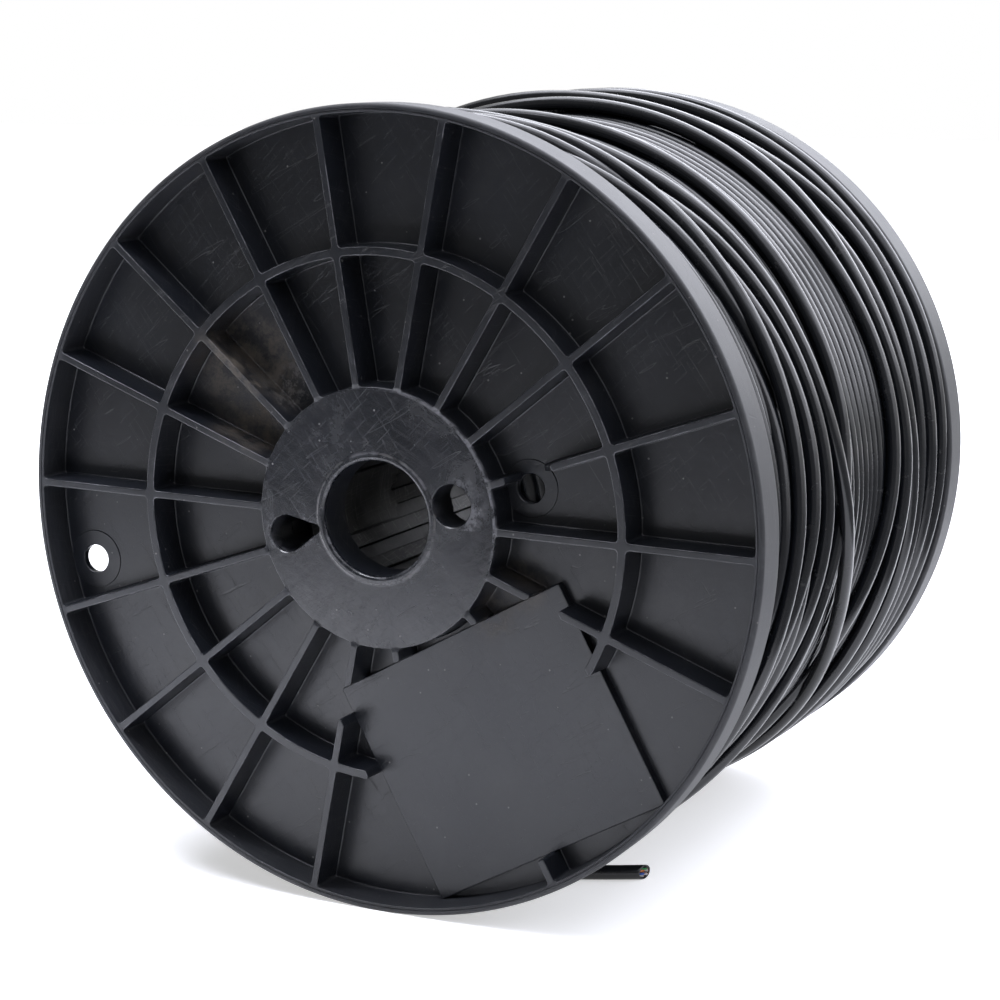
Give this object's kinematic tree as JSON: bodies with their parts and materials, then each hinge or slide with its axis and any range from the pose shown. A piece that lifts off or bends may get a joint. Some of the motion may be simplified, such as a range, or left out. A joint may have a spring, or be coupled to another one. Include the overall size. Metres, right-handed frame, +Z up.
{
  "type": "reel of ethernet cable",
  "caption": "Round ribbed flanges on a hollow barrel, wound nearly full of black round cable, lying on its rims with a short loose end on the floor.",
  "frame": {"origin": "on the floor under the middle of the drum, at the centre of its box's base", "axes": "+Z up; +Y along the drum's axis, from the near flange to the far one; +X to the side where the cable's loose end lies"},
  "size_m": [0.3794, 0.3106, 0.3795],
  "materials": {
    "flange_plastic": "black moulded polypropylene, scuffed and dusty",
    "barrel_plastic": "black moulded plastic, scratched",
    "cable_jacket": "black polyethylene jacket, satin"
  },
  "bodies": {
    "root": {"near_flange": "flange_plastic", "far_flange": "flange_plastic", "core_barrel": "barrel_plastic", "cable_winding": "cable_jacket", "cable_tail": "cable_jacket"}
  },
  "joints": []
}
